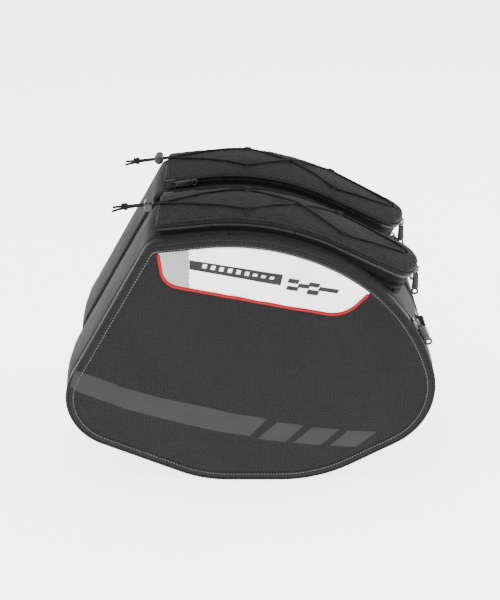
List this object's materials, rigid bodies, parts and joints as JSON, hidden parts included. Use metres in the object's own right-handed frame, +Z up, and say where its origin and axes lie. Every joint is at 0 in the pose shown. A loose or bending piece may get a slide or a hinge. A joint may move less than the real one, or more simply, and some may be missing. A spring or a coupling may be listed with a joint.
{
  "type": "motorcycle saddlebag pair",
  "caption": "Linked pair of soft motorcycle saddlebags on curved bases, each with a fold-down outer panel, silver reflector, zips and a low laced crown that lifts to expand.",
  "frame": {"origin": "centre of the pair's box, on the floor under the bags", "axes": "+X to the rear of the machine, +Y to its right side, +Z up"},
  "size_m": [0.4715, 0.3308, 0.3676],
  "materials": {
    "ballistic_nylon": "coarse woven black nylon",
    "panel_nylon": "moulded woven panel, faint diagonal rib",
    "crown_nylon": "padded woven black nylon",
    "bellows_fabric": "thin folded nylon",
    "padded_back": "foam under anti-slip knit",
    "edge_binding": "smooth bound cord with pale stitching",
    "silver_pvc": "glossy silver-white sheet",
    "red_cord_piping": "crimson piping",
    "zip_chain": "moulded teeth on tape",
    "slider_metal": "black satin",
    "pull_rubber": "soft moulded black",
    "elastic_cord": "braided cover",
    "webbing": "flat woven tape",
    "lock_plastic": "glossy black",
    "buckle_plastic": "moulded black",
    "reflective_tape": "light grey reflective tape",
    "hook_loop": "hook-and-loop tape"
  },
  "bodies": {
    "left_bag": {"left_deck": "ballistic_nylon", "left_rear_gusset": "ballistic_nylon", "left_base_gusset": "ballistic_nylon", "left_back_panel": "padded_back", "left_lower_shell": "panel_nylon", "left_lower_piping": "edge_binding", "left_bellows": "bellows_fabric", "left_crown_chain_lower": "zip_chain", "left_main_chain_bag": "zip_chain", "left_anchor_patch": "reflective_tape", "left_link_strap": "hook_loop"},
    "left_door": {"left_door_shell": "panel_nylon", "left_door_piping": "edge_binding", "left_reflector_panel": "silver_pvc", "left_red_piping": "red_cord_piping", "left_main_chain_door": "zip_chain"},
    "left_crown": {"left_crown_shell": "crown_nylon", "left_crown_chain_upper": "zip_chain", "left_lacing_cord": "elastic_cord", "left_lacing_loops": "webbing", "left_cord_tails": "elastic_cord"},
    "left_crown_slider": {"left_crown_slider": "slider_metal"},
    "left_crown_pull": {"left_crown_pull": "pull_rubber"},
    "left_front_slider": {"left_front_slider": "slider_metal"},
    "left_front_pull": {"left_front_pull": "pull_rubber"},
    "left_main_slider": {"left_main_slider": "slider_metal"},
    "left_main_pull": {"left_main_pull": "pull_rubber"},
    "left_cord_lock": {"left_cord_lock": "lock_plastic"},
    "left_lock_button": {"left_lock_button": "lock_plastic"},
    "left_anchor_buckle": {"left_anchor_buckle": "buckle_plastic"},
    "right_bag": {"right_deck": "ballistic_nylon", "right_rear_gusset": "ballistic_nylon", "right_base_gusset": "ballistic_nylon", "right_back_panel": "padded_back", "right_lower_shell": "panel_nylon", "right_lower_piping": "edge_binding", "right_bellows": "bellows_fabric", "right_crown_chain_lower": "zip_chain", "right_main_chain_bag": "zip_chain", "right_anchor_patch": "reflective_tape", "right_link_strap": "hook_loop"},
    "right_door": {"right_door_shell": "panel_nylon", "right_door_piping": "edge_binding", "right_reflector_panel": "silver_pvc", "right_red_piping": "red_cord_piping", "right_main_chain_door": "zip_chain"},
    "right_crown": {"right_crown_shell": "crown_nylon", "right_crown_chain_upper": "zip_chain", "right_lacing_cord": "elastic_cord", "right_lacing_loops": "webbing", "right_cord_tails": "elastic_cord"},
    "right_crown_slider": {"right_crown_slider": "slider_metal"},
    "right_crown_pull": {"right_crown_pull": "pull_rubber"},
    "right_front_slider": {"right_front_slider": "slider_metal"},
    "right_front_pull": {"right_front_pull": "pull_rubber"},
    "right_main_slider": {"right_main_slider": "slider_metal"},
    "right_main_pull": {"right_main_pull": "pull_rubber"},
    "right_cord_lock": {"right_cord_lock": "lock_plastic"},
    "right_lock_button": {"right_lock_button": "lock_plastic"},
    "right_anchor_buckle": {"right_anchor_buckle": "buckle_plastic"}
  },
  "joints": [
    {"name": "saddle_spread", "type": "slide", "parent": "left_bag", "child": "right_bag", "axis": [0, 1, 0], "range_m": [0, 0.16]},
    {"name": "left_door_fold", "type": "hinge", "parent": "left_bag", "child": "left_door", "pos_m": [0.0019, -0.163, 0.135], "axis": [0.9979, 0, 0.0642], "range_deg": [0, 70]},
    {"name": "left_crown_lift", "type": "slide", "parent": "left_bag", "child": "left_crown", "axis": [0.2079, 0, 0.9781], "range_m": [0, 0.045], "deforming": ["left_bellows"]},
    {"name": "left_crown_slider_run", "type": "hinge", "parent": "left_bag", "child": "left_crown_slider", "pos_m": [0.14136, -0.083, 0.30276], "axis": [0.4373, 0, 0.8993], "range_deg": [-34, 34]},
    {"name": "left_crown_pull_swing", "type": "hinge", "parent": "left_crown_slider", "child": "left_crown_pull", "pos_m": [0.21222, -0.083, 0.2683], "axis": [0, -1, 0], "range_deg": [0, 110]},
    {"name": "left_front_slider_run", "type": "slide", "parent": "left_bag", "child": "left_front_slider", "axis": [0.9945, 0, 0.1045], "range_m": [0, 0.04]},
    {"name": "left_front_pull_swing", "type": "hinge", "parent": "left_front_slider", "child": "left_front_pull", "pos_m": [-0.10499, -0.0222, 0.34405], "axis": [-0.1045, 0, 0.9945], "range_deg": [0, 30]},
    {"name": "left_main_slider_run", "type": "hinge", "parent": "left_bag", "child": "left_main_slider", "pos_m": [-0.00476, -0.1475, 0.09059], "axis": [0, 1, 0], "range_deg": [-29, 11]},
    {"name": "left_main_pull_swing", "type": "hinge", "parent": "left_main_slider", "child": "left_main_pull", "pos_m": [0.20759, -0.1475, 0.22329], "axis": [0, -1, 0], "range_deg": [0, 150]},
    {"name": "left_cord_lock_slide", "type": "slide", "parent": "left_crown", "child": "left_cord_lock", "axis": [-0.9945, 0, -0.1045], "range_m": [0, 0.018]},
    {"name": "left_lock_button_press", "type": "slide", "parent": "left_cord_lock", "child": "left_lock_button", "axis": [0, 1, 0], "range_m": [0, 0.004], "stiffness_N_per_m": 300, "springref_m": -0.003},
    {"name": "left_anchor_buckle_swing", "type": "hinge", "parent": "left_bag", "child": "left_anchor_buckle", "pos_m": [0.22206, -0.095, 0.19878], "axis": [0, -1, 0], "range_deg": [0, 100]},
    {"name": "right_door_fold", "type": "hinge", "parent": "right_bag", "child": "right_door", "pos_m": [0.0019, 0.163, 0.135], "axis": [-0.9979, 0, -0.0642], "range_deg": [0, 70]},
    {"name": "right_crown_lift", "type": "slide", "parent": "right_bag", "child": "right_crown", "axis": [0.2079, 0, 0.9781], "range_m": [0, 0.045], "deforming": ["right_bellows"]},
    {"name": "right_crown_slider_run", "type": "hinge", "parent": "right_bag", "child": "right_crown_slider", "pos_m": [0.14136, 0.083, 0.30276], "axis": [-0.4373, 0, -0.8993], "range_deg": [-34, 34]},
    {"name": "right_crown_pull_swing", "type": "hinge", "parent": "right_crown_slider", "child": "right_crown_pull", "pos_m": [0.21222, 0.083, 0.2683], "axis": [0, -1, 0], "range_deg": [0, 110]},
    {"name": "right_front_slider_run", "type": "slide", "parent": "right_bag", "child": "right_front_slider", "axis": [0.9945, 0, 0.1045], "range_m": [0, 0.04]},
    {"name": "right_front_pull_swing", "type": "hinge", "parent": "right_front_slider", "child": "right_front_pull", "pos_m": [-0.10499, 0.0222, 0.34405], "axis": [0.1045, 0, -0.9945], "range_deg": [0, 30]},
    {"name": "right_main_slider_run", "type": "hinge", "parent": "right_bag", "child": "right_main_slider", "pos_m": [-0.00476, 0.1475, 0.09059], "axis": [0, 1, 0], "range_deg": [-29, 11]},
    {"name": "right_main_pull_swing", "type": "hinge", "parent": "right_main_slider", "child": "right_main_pull", "pos_m": [0.20759, 0.1475, 0.22329], "axis": [0, -1, 0], "range_deg": [0, 150]},
    {"name": "right_cord_lock_slide", "type": "slide", "parent": "right_crown", "child": "right_cord_lock", "axis": [-0.9945, 0, -0.1045], "range_m": [0, 0.018]},
    {"name": "right_lock_button_press", "type": "slide", "parent": "right_cord_lock", "child": "right_lock_button", "axis": [0, -1, 0], "range_m": [0, 0.004], "stiffness_N_per_m": 300, "springref_m": -0.003},
    {"name": "right_anchor_buckle_swing", "type": "hinge", "parent": "right_bag", "child": "right_anchor_buckle", "pos_m": [0.22206, 0.095, 0.19878], "axis": [0, -1, 0], "range_deg": [0, 100]}
  ]
}
